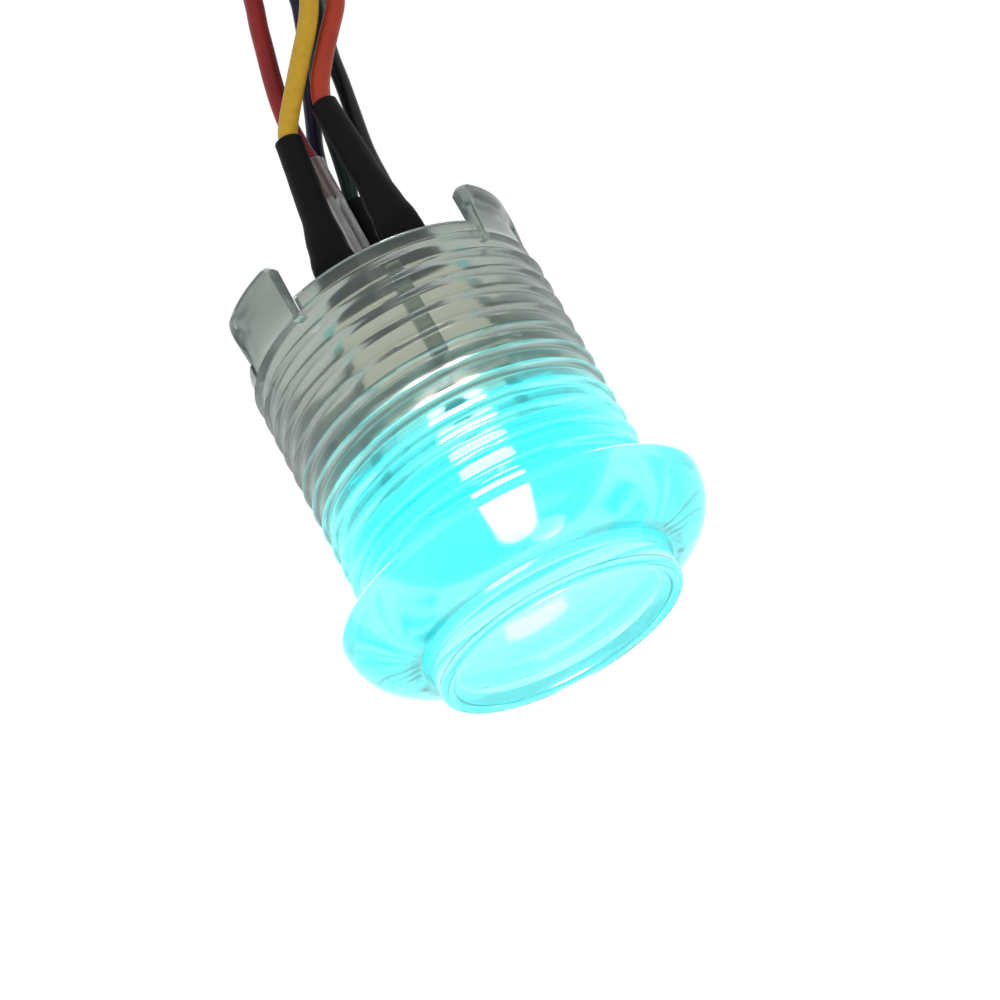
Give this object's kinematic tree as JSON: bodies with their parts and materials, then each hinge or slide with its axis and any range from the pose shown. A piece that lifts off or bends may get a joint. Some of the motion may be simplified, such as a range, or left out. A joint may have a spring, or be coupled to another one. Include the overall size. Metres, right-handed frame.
{
  "type": "arcade button",
  "caption": "Clear screw-in arcade push button with a concave plunger, lit from inside by a colour lamp, with a snap switch and hanging leads.",
  "frame": {"origin": "on the button's axis, at the back face of the bezel, where the panel's front lies", "axes": "+Z along the axis, out of the panel towards the finger; +Y from the switch towards the lamp; +X to the right"},
  "size_m": [0.0338, 0.0338, 0.1376],
  "materials": {
    "clear_body": "clear",
    "clear_plunger": "clear",
    "clear_carrier": "clear",
    "lamp_epoxy": "clear",
    "lead_steel": "tinned",
    "solder": "dull",
    "case_cream": "satin",
    "cover_cream": "satin",
    "button_red": "satin",
    "blade_bronze": "polished",
    "tab_brass": "plated",
    "shrink_black": "matt",
    "shrink_clear": "clear",
    "wire_yellow": "satin",
    "wire_orange": "satin",
    "wire_red": "satin",
    "wire_blue": "satin",
    "wire_green": "satin",
    "wire_black": "satin",
    "plug_white": "satin",
    "contact_tin": "tinned"
  },
  "bodies": {
    "housing": {"barrel": "clear_body", "carrier": "clear_carrier", "lamp_lens": "lamp_epoxy", "lamp_leads": "lead_steel", "solder_joints": "solder", "switch_case": "case_cream", "switch_cover": "cover_cream", "common_terminal": "tab_brass", "open_terminal": "tab_brass", "common_receptacle": "tab_brass", "open_receptacle": "tab_brass", "yellow_sleeve": "shrink_black", "orange_sleeve": "shrink_black", "red_sleeve": "shrink_clear", "blue_sleeve": "shrink_clear", "green_sleeve": "shrink_black", "black_sleeve": "shrink_black", "yellow_wire": "wire_yellow", "orange_wire": "wire_orange", "red_wire": "wire_red", "blue_wire": "wire_blue", "green_wire": "wire_green", "black_wire": "wire_black", "lamp_plug": "plug_white", "switch_plug": "plug_white", "lamp_contacts": "contact_tin", "switch_contacts": "contact_tin"},
    "plunger": {"plunger": "clear_plunger"},
    "switch_button": {"switch_button": "button_red"},
    "snap_blade": {"snap_blade": "blade_bronze"}
  },
  "joints": [
    {"name": "plunger_press", "type": "slide", "parent": "housing", "child": "plunger", "axis": [0, 0, -1], "range_m": [0, 0.0015], "stiffness_N_per_m": 350, "springref_m": -0.0012},
    {"name": "switch_button_press", "type": "slide", "parent": "housing", "child": "switch_button", "axis": [0, 0, -1], "range_m": [0, 0.0015]},
    {"name": "blade_turn", "type": "hinge", "parent": "housing", "child": "snap_blade", "pos_m": [0.0026, -0.004, -0.0182], "axis": [0, -1, 0], "range_deg": [0, 22]}
  ],
  "couplings": [
    {"joint": "switch_button_press", "follows": "plunger_press", "ratio": 1},
    {"joint": "blade_turn", "follows": "plunger_press", "rad_per_m": 251.5}
  ]
}
